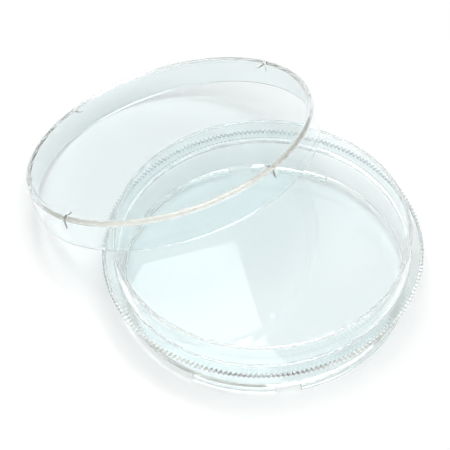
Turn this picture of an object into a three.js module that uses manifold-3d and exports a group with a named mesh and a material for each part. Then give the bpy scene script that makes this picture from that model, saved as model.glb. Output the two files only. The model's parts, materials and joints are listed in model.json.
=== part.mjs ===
// A lidded petri dish for cell culture: a shallow round dish with a knurled grip ring, and its
// loose lid. Both are one-piece mouldings in clear polystyrene. The dish stands on the surface
// z = 0 with its axis upright. The lid is off: it leans on the dish, its skirt resting on the
// rim and its far edge on the surface. The origin is the middle of the pair's footprint.
import * as THREE from "three";
import { mergeVertices } from "three/addons/utils/BufferGeometryUtils.js";
import Module from "manifold-3d";

const wasm = await Module();
wasm.setup();

// Driving dimensions, in millimetres and degrees.
const TURN_STEPS = 96;
const FILLET_STEP_ANGLE = 30;
const MERGE_TOLERANCE = 1e-5;

// How far a piece runs on past the face it is cut by or buried in.
const OVERRUN = 1.0;

const DISH_HEIGHT = 22.3;
const WALL = 1.2;
const FLOOR_THICKNESS = 1.2;
const FLOOR_CORNER_FILLET = 1.0;
const RIM_OUTER_RADIUS = 44.3;
const SKIRT_TOP_RADIUS = 44.0;
const SKIRT_BOTTOM_RADIUS = 43.5;
const SKIRT_BOTTOM_FILLET = 0.6;

const RING_TOP = 14.5;
const RING_THICKNESS = 2.2;
const RING_CREST_RADIUS = 48.0;
const RING_UNDERSIDE_RADIUS = 46.9;
const RING_FILLET = 0.3;
const TOOTH_COUNT = 210;
const TOOTH_DEPTH = 0.9;
const TOOTH_BOTTOM = 13.3;

const FOOT_HEIGHT = 1.9;
const FOOT_OUTER_RADIUS = 43.9;
const FOOT_WIDTH = 1.6;
const FOOT_OVERLAP = 0.6;
const FOOT_ARCS = [
  [-77, 2],
  [60.5, 93.5],
];

const INDEX_RIB = { width: 0.7, height: 2.2, proud: 0.45 };

const LID_HEIGHT = 10.4;
const LID_RADIUS = 46.1;
const LID_PLATE_TOP = 9.8;
const LID_PLATE_THICKNESS = 1.2;
const LID_SHOULDER_FILLET = 1.3;
const LID_BEAD_WIDTH = 1.5;
const LID_BEAD_SLOPE = 0.4;
const LID_CORNER_FILLET = 0.2;
const LID_EDGE_FILLET = 0.35;

const NUB_COUNT = 4;
const NUB_START = 48;
const NUB_WIDTH = 1.0;
const NUB_DEPTH = 0.35;
const NUB_REACH = 2.9;
const NUB_DROP = 3.0;

// How the lid leans: its axis tips towards LEAN_DIRECTION, and its centre stands off from the
// dish's axis. CLEARANCE is the air left where it would touch the surface.
const LEAN_ANGLE = 19.8;
const LEAN_DIRECTION = 132;
const LID_OFFSET = 46.4;
const LID_OFFSET_DIRECTION = 127.6;
const CLEARANCE = 0.3;

const rad = THREE.MathUtils.degToRad;

// Solids.

function toSolid(geometry) {
  const bare = geometry.clone();
  bare.deleteAttribute("normal");
  bare.deleteAttribute("uv");
  const merged = mergeVertices(bare, MERGE_TOLERANCE);
  const vertProperties = new Float32Array(merged.attributes.position.array);
  const triVerts = new Uint32Array(merged.index.array);
  return new wasm.Manifold(new wasm.Mesh({ numProp: 3, vertProperties, triVerts }));
}

function toGeometry(solid) {
  const mesh = solid.getMesh();
  const geometry = new THREE.BufferGeometry();
  geometry.setAttribute("position", new THREE.BufferAttribute(mesh.vertProperties, 3));
  geometry.setIndex(new THREE.BufferAttribute(mesh.triVerts, 1));
  const facets = geometry.toNonIndexed();
  facets.computeVertexNormals();
  return facets;
}

// A solid of revolution about Z from an outline of [radius, z] points, walked so that the
// outside is climbed from the bottom to the top.
function turned(outline) {
  const points = outline.map(([radius, z]) => new THREE.Vector2(radius, z));
  const geometry = new THREE.LatheGeometry(points, TURN_STEPS);
  geometry.rotateX(Math.PI / 2);
  return toSolid(geometry);
}

// A plate of the given outline, from z = bottom to z = top.
function plate(shape, bottom, top) {
  const geometry = new THREE.ExtrudeGeometry(shape, { depth: top - bottom, bevelEnabled: false });
  geometry.translate(0, 0, bottom);
  return toSolid(geometry);
}

function block(sizeX, sizeY, sizeZ, x, y, z, turn) {
  const geometry = new THREE.BoxGeometry(sizeX, sizeY, sizeZ);
  geometry.translate(x, y, z);
  geometry.rotateZ(rad(turn));
  return toSolid(geometry);
}

// Points of a round corner about [radius, z], from one angle to another in degrees.
function corner(radius, z, size, from, to) {
  const points = [];
  const steps = Math.round(Math.abs(to - from) / FILLET_STEP_ANGLE);
  for (let step = 0; step <= steps; step += 1) {
    const angle = rad(from + ((to - from) * step) / steps);
    points.push([radius + size * Math.cos(angle), z + size * Math.sin(angle)]);
  }
  return points;
}

// The dish.

// The wall's inner face stays one wall thickness inside its outer face, all the way down.
function dishBody() {
  const floorTop = FOOT_HEIGHT + FLOOR_THICKNESS;
  const rimRound = WALL / 2;
  const floorRadius = SKIRT_BOTTOM_RADIUS - WALL;
  const ringBottom = RING_TOP - RING_THICKNESS;
  const skirtRound = SKIRT_BOTTOM_FILLET;
  const cornerRound = FLOOR_CORNER_FILLET;
  return turned([
    [0, FOOT_HEIGHT],
    ...corner(SKIRT_BOTTOM_RADIUS - skirtRound, FOOT_HEIGHT + skirtRound, skirtRound, -90, 0),
    [SKIRT_TOP_RADIUS, ringBottom],
    [RIM_OUTER_RADIUS, RING_TOP],
    ...corner(RIM_OUTER_RADIUS - rimRound, DISH_HEIGHT - rimRound, rimRound, 0, 180),
    [RIM_OUTER_RADIUS - WALL, RING_TOP],
    ...corner(floorRadius - cornerRound, floorTop + cornerRound, cornerRound, 0, -90),
    [0, floorTop],
  ]);
}

// The grip ring's teeth stand upright down to TOOTH_BOTTOM, and run out on the slope that leads
// in to the ring's smaller, smooth underside.
function gripRing() {
  const bottom = RING_TOP - RING_THICKNESS;
  const innerRadius = SKIRT_TOP_RADIUS - WALL / 2;
  const outline = new THREE.Shape();
  for (let tooth = 0; tooth < TOOTH_COUNT; tooth += 1) {
    const crest = (2 * Math.PI * tooth) / TOOTH_COUNT;
    const root = crest + Math.PI / TOOTH_COUNT;
    const rootRadius = RING_CREST_RADIUS - TOOTH_DEPTH;
    const crestX = RING_CREST_RADIUS * Math.cos(crest);
    const crestY = RING_CREST_RADIUS * Math.sin(crest);
    if (tooth === 0) outline.moveTo(crestX, crestY);
    else outline.lineTo(crestX, crestY);
    outline.lineTo(rootRadius * Math.cos(root), rootRadius * Math.sin(root));
  }
  outline.closePath();
  const round = RING_FILLET;
  const slope = (TOOTH_BOTTOM - bottom - round) / (RING_CREST_RADIUS - RING_UNDERSIDE_RADIUS);
  const envelope = turned([
    [innerRadius, bottom],
    ...corner(RING_UNDERSIDE_RADIUS - round, bottom + round, round, -90, 0),
    [RING_CREST_RADIUS + OVERRUN, TOOTH_BOTTOM + slope * OVERRUN],
    [RING_CREST_RADIUS + OVERRUN, RING_TOP],
    [innerRadius, RING_TOP],
    [innerRadius, bottom],
  ]);
  return plate(outline, bottom - OVERRUN, RING_TOP + OVERRUN).intersect(envelope);
}

// The foot is a low ring in four arcs, the second pair opposite the first.
function footArc(from, to) {
  const shape = new THREE.Shape();
  const innerRadius = FOOT_OUTER_RADIUS - FOOT_WIDTH;
  shape.absarc(0, 0, FOOT_OUTER_RADIUS, rad(from), rad(to), false);
  shape.absarc(0, 0, innerRadius, rad(to), rad(from), true);
  shape.closePath();
  return plate(shape, 0, FOOT_HEIGHT + FOOT_OVERLAP);
}

// The index rib stands on the wall's outer face just above the ring.
function indexRib() {
  const { width, height, proud } = INDEX_RIB;
  const middleX = RIM_OUTER_RADIUS + proud - WALL / 2;
  const middleZ = RING_TOP + (height - OVERRUN) / 2;
  return block(WALL, width, height + OVERRUN, middleX, 0, middleZ, 0);
}

function makeDish() {
  let solid = dishBody().add(gripRing()).add(indexRib());
  for (const [from, to] of FOOT_ARCS) {
    solid = solid.add(footArc(from, to)).add(footArc(from + 180, to + 180));
  }
  return toGeometry(solid);
}

// The lid, with its skirt's lower edge on z = 0.

function lidBody() {
  const plateBottom = LID_PLATE_TOP - LID_PLATE_THICKNESS;
  const innerRadius = LID_RADIUS - WALL;
  const shoulder = LID_SHOULDER_FILLET;
  const edge = LID_EDGE_FILLET;
  const inner = LID_CORNER_FILLET;
  const beadInner = LID_RADIUS - LID_BEAD_WIDTH;
  return turned([
    [0, plateBottom],
    ...corner(innerRadius - inner, plateBottom - inner, inner, 90, 0),
    ...corner(innerRadius + edge, edge, edge, 180, 270),
    ...corner(LID_RADIUS - edge, edge, edge, -90, 0),
    ...corner(LID_RADIUS - shoulder, LID_HEIGHT - shoulder, shoulder, 0, 90),
    [beadInner, LID_HEIGHT],
    [beadInner - LID_BEAD_SLOPE, LID_PLATE_TOP],
    [0, LID_PLATE_TOP],
  ]);
}

// A vent nub holds the lid off the dish's rim: a low rib under the plate that turns down the
// inside of the skirt.
function ventNub(turn) {
  const plateBottom = LID_PLATE_TOP - LID_PLATE_THICKNESS;
  const innerRadius = LID_RADIUS - WALL;
  const bury = WALL / 2;
  const reach = NUB_REACH + bury;
  const drop = NUB_DROP + bury;
  const depth = NUB_DEPTH + bury;
  const flatX = innerRadius + bury - reach / 2;
  const flatZ = plateBottom + bury - depth / 2;
  const wallX = innerRadius + bury - depth / 2;
  const wallZ = plateBottom + bury - drop / 2;
  const flat = block(reach, NUB_WIDTH, depth, flatX, 0, flatZ, turn);
  const upright = block(depth, NUB_WIDTH, drop, wallX, 0, wallZ, turn);
  return flat.add(upright);
}

function makeLid() {
  let solid = lidBody();
  for (let index = 0; index < NUB_COUNT; index += 1) {
    solid = solid.add(ventNub(NUB_START + (360 * index) / NUB_COUNT));
  }
  return toGeometry(solid);
}

// Materials.

function clearPolystyrene() {
  return new THREE.MeshStandardMaterial({
    color: 0xe3eff2,
    roughness: 0.08,
    metalness: 0.0,
    transparent: true,
    opacity: 0.35,
  });
}

// The assembly.

const dish = new THREE.Mesh(makeDish(), clearPolystyrene());
dish.name = "dish";

// The leaning lid's lowest point is on the rounded outer edge of its skirt, on the side it tips
// towards.
function leanLid(lid) {
  const tipX = Math.cos(rad(LEAN_DIRECTION));
  const tipY = Math.sin(rad(LEAN_DIRECTION));
  const offsetX = LID_OFFSET * Math.cos(rad(LID_OFFSET_DIRECTION));
  const offsetY = LID_OFFSET * Math.sin(rad(LID_OFFSET_DIRECTION));
  lid.quaternion.setFromAxisAngle(new THREE.Vector3(-tipY, tipX, 0), rad(LEAN_ANGLE));
  const topCentre = new THREE.Vector3(0, 0, LID_HEIGHT).applyQuaternion(lid.quaternion);
  const edge = new THREE.Vector3(LID_RADIUS - LID_EDGE_FILLET, 0, LID_EDGE_FILLET);
  const drop = edge.x * Math.sin(rad(LEAN_ANGLE)) - edge.z * Math.cos(rad(LEAN_ANGLE));
  const height = drop + LID_EDGE_FILLET + CLEARANCE;
  lid.position.set(offsetX - topCentre.x, offsetY - topCentre.y, height);
}

const lid = new THREE.Mesh(makeLid(), clearPolystyrene());
lid.name = "lid";
leanLid(lid);

const petriDish = new THREE.Group();
petriDish.add(dish, lid);
const middle = new THREE.Box3().setFromObject(petriDish, true).getCenter(new THREE.Vector3());
petriDish.position.set(-middle.x, -middle.y, 0);

export default petriDish;
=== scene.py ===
import json
import math

import bpy
from mathutils import Matrix, Vector


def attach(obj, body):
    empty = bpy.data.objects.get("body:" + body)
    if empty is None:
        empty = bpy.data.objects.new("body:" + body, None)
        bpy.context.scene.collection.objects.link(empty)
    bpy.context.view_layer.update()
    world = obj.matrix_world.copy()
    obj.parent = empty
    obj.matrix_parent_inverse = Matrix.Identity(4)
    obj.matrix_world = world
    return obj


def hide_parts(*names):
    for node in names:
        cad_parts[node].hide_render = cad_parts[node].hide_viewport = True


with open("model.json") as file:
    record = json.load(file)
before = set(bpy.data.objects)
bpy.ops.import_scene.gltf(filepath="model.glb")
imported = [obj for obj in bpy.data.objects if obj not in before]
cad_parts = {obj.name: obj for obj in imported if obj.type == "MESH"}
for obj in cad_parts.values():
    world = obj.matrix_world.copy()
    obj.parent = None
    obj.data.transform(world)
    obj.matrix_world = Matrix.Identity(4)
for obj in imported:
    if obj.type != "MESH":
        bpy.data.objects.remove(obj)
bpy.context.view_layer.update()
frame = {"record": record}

# Driving dimensions of the mouldings, in millimetres and degrees. They are the CAD's, apart from
# the vent nubs, which are a little lower and have soft sides.
WALL = 1.2

DISH_HEIGHT = 22.3
UNDERSIDE = 1.9
FLOOR_TOP = 3.1
FLOOR_CORNER = 1.0
RIM_RADIUS = 44.3
SKIRT_TOP_RADIUS = 44.0
SKIRT_BOTTOM_RADIUS = 43.5
SKIRT_CORNER = 0.6

RING_TOP = 14.5
RING_BOTTOM = 12.3
RING_CREST_RADIUS = 48.0
RING_UNDERSIDE_RADIUS = 46.9
RING_CORNER = 0.3
TOOTH_COUNT = 210
TOOTH_DEPTH = 0.9
TOOTH_SHARPNESS = 0.97
TOOTH_BOTTOM = 13.3

FOOT_OUTER_RADIUS = 43.9
FOOT_INNER_RADIUS = 42.3
FOOT_TOP = 2.5
FOOT_ARCS = [(-77, 2), (60.5, 93.5), (103, 182), (240.5, 273.5)]

RIB_WIDTH = 0.7
RIB_HEIGHT = 2.2
RIB_PROUD = 0.45

LID_HEIGHT = 10.4
LID_RADIUS = 46.1
LID_PLATE_TOP = 9.8
LID_SHOULDER = 1.3
LID_INNER_CORNER = 0.2
LID_EDGE_CORNER = 0.35
BEAD_WIDTH = 1.5
BEAD_SLOPE = 0.4

NUB_TURNS = [48, 138, 228, 318]
NUB_WIDTH = 1.0
NUB_DEPTH = 0.25
NUB_ROUND = 1.2
NUB_REACH = 2.9
NUB_DROP = 3.0

# Small rounds on edges, the width over which the foot's ends ease into the skirt, and how far
# past a detail the plain stretch beside it starts.
SMALL_ROUND = 0.15
BLEND_WIDTH = 0.35
LEAD = 1

# How finely the surfaces are divided, and the angle from which an edge is left sharp.
EVEN_COLUMNS = 720
COLUMNS_PER_TOOTH = 6
ARC_STEP = 12
TOOTH_EDGE_STEP = 30
TOOTH_SLOPE_LOOPS = 3
SHARP_ANGLE = 42

# The plastic. Noise scales are in cycles per metre.
REFRACTIVE_INDEX = 1.59
TINT_THICK = (0.895, 0.943, 0.952, 1)
TINT_THIN = (0.92, 0.96, 0.96, 1)
FLOW_SCALE = 25
FLOW_DETAIL = 3
HANDLING_SCALE = 60
HANDLING_DETAIL = 6
HANDLING_FROM = 0.45
HANDLING_TO = 0.8
HAZE_ROUGHNESS = 0.06
DEPTH_COLOUR = (0.97, 0.91, 0.78, 1)
DEPTH_DENSITY = 5

# The studio, in metres, watts and degrees. Azimuths are from +X, and rises from the floor.
FLOOR_SIZE = 20.0
FLOOR_GAP = 0.00005
FLOOR_COLOUR = (0.86, 0.86, 0.86, 1)
FLOOR_ROUGHNESS = 0.9
SKY_DARK = 0.04
SKY_BRIGHT = 0.75
CEILING_EDGE = 0.8
CEILING_BLUR = 0.1
BACKDROP_AZIMUTH = 102
BACKDROP_RISE = 22
BACKDROP_SPREAD = 32
BACKDROP_BLUR = 6
FRONT_EDGE = 0.0
FRONT_BLUR = 0.1
FRONT_LEVEL = 0.8
TOP_LAMP = {"place": (0.1, -0.1, 1.2), "roll": 0, "width": 0.8, "height": 0.8, "power": 9.2}
BACK_LAMP = {"place": (-0.349, 0.584, 1.337), "roll": -12, "width": 0.9, "height": 0.7, "power": 3}

# The camera, with its aim and distance in radii of the grip ring.
CAMERA_ELEVATION = 48.916
CAMERA_AZIMUTH = 1.945
CAMERA_ROLL = -3.214
CAMERA_DISTANCE = 10.342
CAMERA_AIM_X = -0.2312
CAMERA_AIM_Y = 0.1753
CAMERA_LENS = 131.4
CAMERA_SENSOR = 36
CAMERA_NEAREST = 0.01

# Light goes many times from side to side inside a clear wall before it comes out.
CLEAR_BOUNCES = 200
FLOOR_BOUNCES = 6

MM = 0.001


# Columns are the angles about the Z axis, in radians, at which a loop has its points.

def even_columns():
    return [2 * math.pi * i / EVEN_COLUMNS for i in range(EVEN_COLUMNS)]


def tooth_columns():
    count = TOOTH_COUNT * COLUMNS_PER_TOOTH
    return [2 * math.pi * i / count for i in range(count)]


def columns_with_steps(arcs, blend):
    """Even columns, with a close group at each end of each arc, where the outline changes."""
    columns = even_columns()
    for arc in arcs:
        for end in arc:
            for part in (-0.5, -0.25, 0, 0.25, 0.5):
                columns.append(math.radians(end + part * blend) % (2 * math.pi))
    return sorted(columns)


def share_of(angle, arcs, blend):
    """1 inside an arc, 0 outside all of them, and an ease between the two across each end."""
    most = 0.0
    for start, end in arcs:
        middle = math.radians(start + end) / 2
        away = abs((angle - middle + math.pi) % (2 * math.pi) - math.pi)
        inside = math.radians(end - start) / 2 - away
        step = min(max(inside / math.radians(blend) + 0.5, 0.0), 1.0)
        most = max(most, step * step * (3 - 2 * step))
    return most


# Outlines are lists of (radius, height), from underneath, up the outside and down the inside.

def rounded(corners):
    """The outline through corners (radius, height, size), with an arc of that size at each."""
    path = []
    for index, (radius, height, size) in enumerate(corners):
        here = Vector((radius, height))
        if not size:
            path.append(here)
            continue
        back = (Vector(corners[index - 1][:2]) - here).normalized()
        onward = (Vector(corners[index + 1][:2]) - here).normalized()
        half = back.angle(onward) / 2
        centre = here + (back + onward).normalized() * size / math.sin(half)
        first = here + back * size / math.tan(half) - centre
        last = here + onward * size / math.tan(half) - centre
        sweep = first.angle_signed(last)
        steps = max(2, math.ceil(math.degrees(abs(sweep)) / ARC_STEP))
        for step in range(steps + 1):
            path.append(centre + Matrix.Rotation(-sweep * step / steps, 2) @ first)
    return path


def resampled(path, count):
    """The same outline with count points, evenly spaced along it."""
    lengths = [0.0]
    for a, b in zip(path, path[1:]):
        lengths.append(lengths[-1] + (b - a).length)
    points = []
    leg = 0
    for index in range(count):
        along = lengths[-1] * index / (count - 1)
        while leg < len(path) - 2 and lengths[leg + 1] < along:
            leg += 1
        part = (along - lengths[leg]) / (lengths[leg + 1] - lengths[leg])
        points.append(path[leg].lerp(path[leg + 1], min(part, 1.0)))
    return points


class Moulding:
    """A closed surface about the Z axis, made loop by loop along its outline."""

    def __init__(self):
        self.points = []
        self.faces = []
        self.columns = None
        self.first = 0

    def loop(self, columns, place):
        """Adds a loop of points. place gives the radius and height at an angle."""
        first = len(self.points)
        for angle in columns:
            radius, height = place(angle)
            self.points.append((radius * math.cos(angle), radius * math.sin(angle), height))
        if self.columns == columns:
            self.band(first)
        elif self.columns is not None:
            self.seam(columns, first)
        self.columns = columns
        self.first = first

    def band(self, first):
        """Joins the last loop to one with the same columns."""
        count = len(self.columns)
        for index in range(count):
            after = (index + 1) % count
            self.faces.append(
                (self.first + index, self.first + after, first + after, first + index)
            )

    def seam(self, columns, first):
        """Joins the last loop to one with other columns, by triangles in order of angle."""
        full = 2 * math.pi
        ends_below = self.columns[1:] + [self.columns[0] + full]
        ends_above = columns[1:] + [columns[0] + full]
        below = above = 0
        while below < len(ends_below) or above < len(ends_above):
            a = self.first + below % len(ends_below)
            b = first + above % len(ends_above)
            next_below = ends_below[below] if below < len(ends_below) else math.inf
            next_above = ends_above[above] if above < len(ends_above) else math.inf
            if next_below <= next_above:
                below += 1
                self.faces.append((a, self.first + below % len(ends_below), b))
            else:
                above += 1
                self.faces.append((a, first + above % len(ends_above), b))

    def turn(self, columns, path):
        """Adds a plain turned stretch."""
        for radius, height in path:
            self.loop(columns, lambda angle, at=(radius, height): at)

    def change(self, columns, plain, raised, share):
        """Adds a stretch that follows plain where share(angle) is 0 and raised where it is 1."""
        for low, high in zip(resampled(plain, len(raised)), raised):
            self.loop(columns, lambda angle, a=low, b=high: a.lerp(b, share(angle)))

    def middle(self, height, facing_down=False):
        """Closes the surface with a fan of triangles to a point on the axis."""
        centre = len(self.points)
        self.points.append((0, 0, height))
        count = len(self.columns)
        for index in range(count):
            a = self.first + index
            b = self.first + (index + 1) % count
            self.faces.append((centre, b, a) if facing_down else (a, b, centre))

    def build(self, name, place, material):
        """Makes the mesh, in metres, with its own axis put by the matrix place."""
        mesh = bpy.data.meshes.new(name)
        mesh.from_pydata([Vector(p) * MM for p in self.points], [], self.faces)
        mesh.transform(place)
        mesh.shade_smooth()
        mesh.set_sharp_from_angle(angle=math.radians(SHARP_ANGLE))
        mesh.materials.append(material)
        piece = bpy.data.objects.new(name, mesh)
        bpy.context.scene.collection.objects.link(piece)
        normals = piece.modifiers.new("normals", "WEIGHTED_NORMAL")
        normals.keep_sharp = True
        return piece


# The dish.

def skirt_radius(height):
    part = (height - UNDERSIDE) / (RING_BOTTOM - UNDERSIDE)
    return SKIRT_BOTTOM_RADIUS + (SKIRT_TOP_RADIUS - SKIRT_BOTTOM_RADIUS) * part


def add_foot(dish):
    """The underside's edge: the foot's arcs, and the skirt's plain round corner between them."""
    blend = math.degrees(BLEND_WIDTH / FOOT_OUTER_RADIUS)
    columns = columns_with_steps(FOOT_ARCS, blend)
    start = FOOT_INNER_RADIUS - 2 * SMALL_ROUND
    foot = rounded([
        (start, UNDERSIDE, 0),
        (FOOT_INNER_RADIUS, UNDERSIDE, SMALL_ROUND),
        (FOOT_INNER_RADIUS, 0, SMALL_ROUND),
        (FOOT_OUTER_RADIUS, 0, SMALL_ROUND),
        (FOOT_OUTER_RADIUS, FOOT_TOP, SMALL_ROUND),
        (skirt_radius(FOOT_TOP), FOOT_TOP, 0),
    ])
    plain = rounded([
        (start, UNDERSIDE, 0),
        (SKIRT_BOTTOM_RADIUS, UNDERSIDE, SKIRT_CORNER),
        (skirt_radius(FOOT_TOP), FOOT_TOP + SMALL_ROUND, 0),
    ])
    dish.change(columns, plain, foot, lambda angle: share_of(angle, FOOT_ARCS, blend))


def tooth_radius(angle):
    """A row of V-shaped teeth with slightly rounded crests and roots."""
    wave = math.acos(TOOTH_SHARPNESS * math.cos(TOOTH_COUNT * angle)) / math.pi
    rounding = math.acos(TOOTH_SHARPNESS) / math.pi
    return RING_CREST_RADIUS - TOOTH_DEPTH * (wave - rounding) / (1 - 2 * rounding)


def add_grip_ring(dish):
    """The teeth stand upright down to TOOTH_BOTTOM, and a slope leads in under them."""
    columns = tooth_columns()
    underside = rounded([
        (SKIRT_TOP_RADIUS + 3 * SMALL_ROUND, RING_BOTTOM, 0),
        (RING_UNDERSIDE_RADIUS, RING_BOTTOM, RING_CORNER),
        (RING_CREST_RADIUS, TOOTH_BOTTOM, 0),
    ])
    dish.turn(columns, underside[:-1])
    start = underside[-2]
    for loop in range(1, TOOTH_SLOPE_LOOPS + 1):
        part = loop / TOOTH_SLOPE_LOOPS
        dish.loop(columns, lambda angle, part=part: (
            start.x + (tooth_radius(angle) - start.x) * part,
            start.y + (TOOTH_BOTTOM - start.y) * part,
        ))
    for turn in range(0, 90 + TOOTH_EDGE_STEP, TOOTH_EDGE_STEP):
        inward = SMALL_ROUND * (1 - math.cos(math.radians(turn)))
        down = SMALL_ROUND * (1 - math.sin(math.radians(turn)))
        dish.loop(columns, lambda angle, a=inward, b=down: (tooth_radius(angle) - a, RING_TOP - b))
    dish.turn(columns, [(RIM_RADIUS + LEAD, RING_TOP)])


def add_index_rib(dish):
    """The wall's foot on the ring, with the small index rib at angle 0."""
    blend = math.degrees(SMALL_ROUND / RIM_RADIUS)
    half = math.degrees(RIB_WIDTH / 2 / RIM_RADIUS)
    arcs = [(-half, half)]
    columns = columns_with_steps(arcs, blend)
    top = RING_TOP + RIB_HEIGHT
    start = RIM_RADIUS + RIB_PROUD + 2 * SMALL_ROUND
    rib = rounded([
        (start, RING_TOP, 0),
        (RIM_RADIUS + RIB_PROUD, RING_TOP, SMALL_ROUND),
        (RIM_RADIUS + RIB_PROUD, top, SMALL_ROUND),
        (RIM_RADIUS, top, SMALL_ROUND),
        (RIM_RADIUS, top + 2 * SMALL_ROUND, 0),
    ])
    plain = rounded([
        (start, RING_TOP, 0),
        (RIM_RADIUS, RING_TOP, 2 * SMALL_ROUND),
        (RIM_RADIUS, top + 2 * SMALL_ROUND, 0),
    ])
    dish.change(columns, plain, rib, lambda angle: share_of(angle, arcs, blend))


def make_dish(place, material):
    dish = Moulding()
    even = even_columns()
    dish.turn(even, [(FOOT_INNER_RADIUS - LEAD, UNDERSIDE)])
    dish.middle(UNDERSIDE, facing_down=True)
    add_foot(dish)
    dish.turn(even, rounded([
        (skirt_radius(FOOT_TOP + LEAD), FOOT_TOP + LEAD, 0),
        (SKIRT_TOP_RADIUS, RING_BOTTOM, 2 * SMALL_ROUND),
        (SKIRT_TOP_RADIUS + 3 * SMALL_ROUND, RING_BOTTOM, 0),
    ])[:-1])
    add_grip_ring(dish)
    add_index_rib(dish)
    rim = WALL / 2
    inner = RIM_RADIUS - WALL
    dish.turn(even, rounded([
        (RIM_RADIUS, RING_TOP + RIB_HEIGHT + LEAD, 0),
        (RIM_RADIUS, DISH_HEIGHT, rim),
        (inner, DISH_HEIGHT, rim),
        (inner, RING_TOP, 0),
        (SKIRT_BOTTOM_RADIUS - WALL, FLOOR_TOP, FLOOR_CORNER),
        (SKIRT_BOTTOM_RADIUS - 3 * WALL, FLOOR_TOP, 0),
    ]))
    dish.middle(FLOOR_TOP)
    return dish.build("culture_dish", place, material)


# The lid, with its skirt's lower edge on z = 0.

def add_vent_nubs(lid, plate_bottom, inner):
    """Each nub is a low rib under the plate that turns down the inside of the skirt."""
    half = math.degrees(NUB_WIDTH / 2 / inner)
    blend = math.degrees(NUB_ROUND / inner)
    arcs = [(turn - half, turn + half) for turn in NUB_TURNS]
    columns = columns_with_steps(arcs, blend)
    start = inner - NUB_REACH - 2 * SMALL_ROUND
    end = plate_bottom - NUB_DROP - 2 * SMALL_ROUND
    nub = rounded([
        (start, plate_bottom, 0),
        (inner - NUB_REACH, plate_bottom, SMALL_ROUND),
        (inner - NUB_REACH, plate_bottom - NUB_DEPTH, SMALL_ROUND),
        (inner - NUB_DEPTH, plate_bottom - NUB_DEPTH, LID_INNER_CORNER),
        (inner - NUB_DEPTH, plate_bottom - NUB_DROP, SMALL_ROUND),
        (inner, plate_bottom - NUB_DROP, SMALL_ROUND),
        (inner, end, 0),
    ])
    plain = rounded([
        (start, plate_bottom, 0),
        (inner, plate_bottom, LID_INNER_CORNER),
        (inner, end, 0),
    ])
    lid.change(columns, plain, nub, lambda angle: share_of(angle, arcs, blend))


def make_lid(place, material):
    lid = Moulding()
    even = even_columns()
    plate_bottom = LID_PLATE_TOP - WALL
    inner = LID_RADIUS - WALL
    lid.turn(even, [(inner - NUB_REACH - LEAD, plate_bottom)])
    lid.middle(plate_bottom, facing_down=True)
    add_vent_nubs(lid, plate_bottom, inner)
    bead = LID_RADIUS - BEAD_WIDTH
    lid.turn(even, rounded([
        (inner, plate_bottom - NUB_DROP - LEAD, 0),
        (inner, 0, LID_EDGE_CORNER),
        (LID_RADIUS, 0, LID_EDGE_CORNER),
        (LID_RADIUS, LID_HEIGHT, LID_SHOULDER),
        (bead, LID_HEIGHT, SMALL_ROUND),
        (bead - BEAD_SLOPE, LID_PLATE_TOP, SMALL_ROUND),
        (bead - LEAD, LID_PLATE_TOP, 0),
    ]))
    lid.middle(LID_PLATE_TOP)
    return lid.build("culture_dish_lid", place, material)


# Where the mouldings stand, from the record's mounts.

def mount(name):
    return next(m for m in frame["record"]["mounts"] if m["name"] == name)


def dish_place():
    x, y, _ = mount("dish_floor")["pos_m"]
    return Matrix.Translation((x, y, 0))


def lid_place():
    plate = mount("lid_plate")
    lean = Vector((0, 0, 1)).rotation_difference(Vector(plate["axis"])).to_matrix().to_4x4()
    return Matrix.Translation(plate["pos_m"]) @ lean @ Matrix.Translation((0, 0, -LID_PLATE_TOP * MM))


# Materials.

def new_material(name):
    material = bpy.data.materials.new(name)
    material.use_nodes = True
    nodes = material.node_tree.nodes
    nodes.clear()
    shader = nodes.new("ShaderNodeBsdfPrincipled")
    output = nodes.new("ShaderNodeOutputMaterial")
    material.node_tree.links.new(shader.outputs["BSDF"], output.inputs["Surface"])
    return material, shader, output


def add_noise(tree, scale, detail):
    """A noise fixed to the piece. Returns its value socket."""
    place = tree.nodes.new("ShaderNodeTexCoord")
    noise = tree.nodes.new("ShaderNodeTexNoise")
    noise.inputs["Scale"].default_value = scale
    noise.inputs["Detail"].default_value = detail
    tree.links.new(place.outputs["Object"], noise.inputs["Vector"])
    return noise.outputs["Fac"]


def add_flow_tint(tree, shader):
    """The slow change of tint that the melt leaves where it flowed."""
    tint = tree.nodes.new("ShaderNodeMix")
    tint.data_type = "RGBA"
    tint.inputs["A"].default_value = TINT_THICK
    tint.inputs["B"].default_value = TINT_THIN
    tree.links.new(add_noise(tree, FLOW_SCALE, FLOW_DETAIL), tint.inputs["Factor"])
    tree.links.new(tint.outputs["Result"], shader.inputs["Base Color"])


def add_handling_haze(tree, shader):
    """Faint patches where the gloss is rubbed."""
    haze = tree.nodes.new("ShaderNodeMapRange")
    haze.inputs["From Min"].default_value = HANDLING_FROM
    haze.inputs["From Max"].default_value = HANDLING_TO
    haze.inputs["To Max"].default_value = HAZE_ROUGHNESS
    tree.links.new(add_noise(tree, HANDLING_SCALE, HANDLING_DETAIL), haze.inputs["Value"])
    tree.links.new(haze.outputs["Result"], shader.inputs["Roughness"])


def add_depth_colour(tree, output):
    """The straw colour that clear polystyrene takes on along a long way through it."""
    body = tree.nodes.new("ShaderNodeVolumeAbsorption")
    body.inputs["Color"].default_value = DEPTH_COLOUR
    body.inputs["Density"].default_value = DEPTH_DENSITY
    tree.links.new(body.outputs["Volume"], output.inputs["Volume"])


def clear_polystyrene():
    material, shader, output = new_material("clear_polystyrene")
    shader.inputs["IOR"].default_value = REFRACTIVE_INDEX
    shader.inputs["Transmission Weight"].default_value = 1.0
    add_flow_tint(material.node_tree, shader)
    add_handling_haze(material.node_tree, shader)
    add_depth_colour(material.node_tree, output)
    return material


def floor_material():
    material, shader, _ = new_material("studio_floor")
    shader.inputs["Base Color"].default_value = FLOOR_COLOUR
    shader.inputs["Roughness"].default_value = FLOOR_ROUGHNESS
    shader.inputs["Specular IOR Level"].default_value = 0.0
    return material


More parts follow.
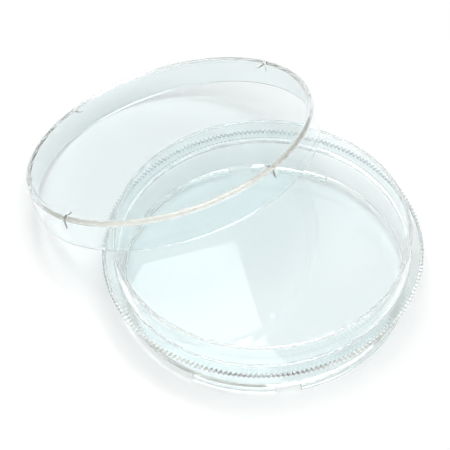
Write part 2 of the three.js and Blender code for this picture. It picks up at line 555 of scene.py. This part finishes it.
# The pieces.

plastic = clear_polystyrene()
dish = make_dish(dish_place(), plastic)
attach(dish, "dish")
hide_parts("dish")

lid = make_lid(lid_place(), plastic)
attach(lid, "lid")
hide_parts("lid")


# The studio.

def direction(azimuth, rise):
    """The unit vector at an azimuth from +X and a rise above the floor, in degrees."""
    flat = math.cos(math.radians(rise))
    return (
        flat * math.cos(math.radians(azimuth)),
        flat * math.sin(math.radians(azimuth)),
        math.sin(math.radians(rise)),
    )


def make_floor():
    """A plain square, a hair lower than the foot, so that their faces don't coincide."""
    half = FLOOR_SIZE / 2
    flat = [(-half, -half), (half, -half), (half, half), (-half, half)]
    mesh = bpy.data.meshes.new("studio_floor")
    mesh.from_pydata([(x, y, -FLOOR_GAP) for x, y in flat], [], [(0, 1, 2, 3)])
    mesh.materials.append(floor_material())
    floor = bpy.data.objects.new("studio_floor", mesh)
    bpy.context.scene.collection.objects.link(floor)


def add_ease(tree, value, start, end, level=1.0):
    """Eases from 0 where value is start to level where it is end. Returns the result socket."""
    ease = tree.nodes.new("ShaderNodeMapRange")
    ease.interpolation_type = "SMOOTHSTEP"
    ease.inputs["From Min"].default_value = start
    ease.inputs["From Max"].default_value = end
    ease.inputs["To Max"].default_value = level
    tree.links.new(value, ease.inputs["Value"])
    return ease.outputs["Result"]


def add_brighter(tree, first, second):
    """Returns a socket with the higher of two values."""
    higher = tree.nodes.new("ShaderNodeMath")
    higher.operation = "MAXIMUM"
    tree.links.new(first, higher.inputs[0])
    tree.links.new(second, higher.inputs[1])
    return higher.outputs["Value"]


def make_sky():
    """Bright overhead, behind the object and in front of it, and dark at the sides."""
    world = bpy.data.worlds.new("studio")
    world.use_nodes = True
    tree = world.node_tree
    place = tree.nodes.new("ShaderNodeTexCoord")
    split = tree.nodes.new("ShaderNodeSeparateXYZ")
    tree.links.new(place.outputs["Generated"], split.inputs["Vector"])
    facing = tree.nodes.new("ShaderNodeVectorMath")
    facing.operation = "DOT_PRODUCT"
    facing.inputs[1].default_value = direction(BACKDROP_AZIMUTH, BACKDROP_RISE)
    tree.links.new(place.outputs["Generated"], facing.inputs[0])

    outer = math.cos(math.radians(BACKDROP_SPREAD + BACKDROP_BLUR))
    inner = math.cos(math.radians(BACKDROP_SPREAD - BACKDROP_BLUR))
    height = split.outputs["Z"]
    overhead = add_ease(tree, height, CEILING_EDGE - CEILING_BLUR, CEILING_EDGE + CEILING_BLUR)
    behind = add_ease(tree, facing.outputs["Value"], outer, inner)
    front = add_ease(tree, split.outputs["Y"], FRONT_EDGE, FRONT_EDGE - 2 * FRONT_BLUR, FRONT_LEVEL)
    lit = add_brighter(tree, add_brighter(tree, overhead, behind), front)

    level = tree.nodes.new("ShaderNodeMapRange")
    level.inputs["To Min"].default_value = SKY_DARK
    level.inputs["To Max"].default_value = SKY_BRIGHT
    tree.links.new(lit, level.inputs["Value"])
    tree.links.new(level.outputs["Result"], tree.nodes["Background"].inputs["Color"])
    bpy.context.scene.world = world


def make_softbox(name, place, roll, width, height, power):
    """A flat lamp that faces the origin, turned by roll degrees about its own line of sight."""
    lamp = bpy.data.lights.new(name, "AREA")
    lamp.shape = "RECTANGLE"
    lamp.size = width
    lamp.size_y = height
    lamp.energy = power
    softbox = bpy.data.objects.new(name, lamp)
    turn = (-Vector(place)).to_track_quat("-Z", "Y").to_matrix().to_4x4()
    spin = Matrix.Rotation(math.radians(roll), 4, "Z")
    softbox.matrix_world = Matrix.Translation(place) @ turn @ spin
    bpy.context.scene.collection.objects.link(softbox)


def make_camera():
    """A long lens from the front, half-way up, turned a little about its own line of sight."""
    ring = Vector(mount("dish_floor")["pos_m"])
    ring.z = RING_TOP * MM
    unit = RING_CREST_RADIUS * MM
    aim = ring + Vector((CAMERA_AIM_X, CAMERA_AIM_Y, 0)) * unit
    azimuth = math.radians(CAMERA_AZIMUTH)
    rise = math.radians(CAMERA_ELEVATION)
    back = Vector((
        math.sin(azimuth) * math.cos(rise),
        -math.cos(azimuth) * math.cos(rise),
        math.sin(rise),
    ))
    lens = bpy.data.cameras.new("camera")
    lens.sensor_width = CAMERA_SENSOR
    lens.lens = CAMERA_LENS
    lens.clip_start = CAMERA_NEAREST
    camera = bpy.data.objects.new("camera", lens)
    roll = Matrix.Rotation(math.radians(CAMERA_ROLL), 4, "Z")
    turn = (-back).to_track_quat("-Z", "Y").to_matrix().to_4x4()
    camera.matrix_world = Matrix.Translation(aim + back * unit * CAMERA_DISTANCE) @ turn @ roll
    bpy.context.scene.collection.objects.link(camera)
    bpy.context.scene.camera = camera


def set_light_paths():
    cycles = bpy.context.scene.cycles
    cycles.max_bounces = CLEAR_BOUNCES
    cycles.transmission_bounces = CLEAR_BOUNCES
    cycles.glossy_bounces = CLEAR_BOUNCES
    cycles.diffuse_bounces = FLOOR_BOUNCES
    cycles.blur_glossy = 0


make_floor()
make_sky()
make_softbox("softbox_top", **TOP_LAMP)
make_softbox("softbox_back", **BACK_LAMP)
make_camera()
set_light_paths()
bpy.context.scene.view_settings.view_transform = "Standard"
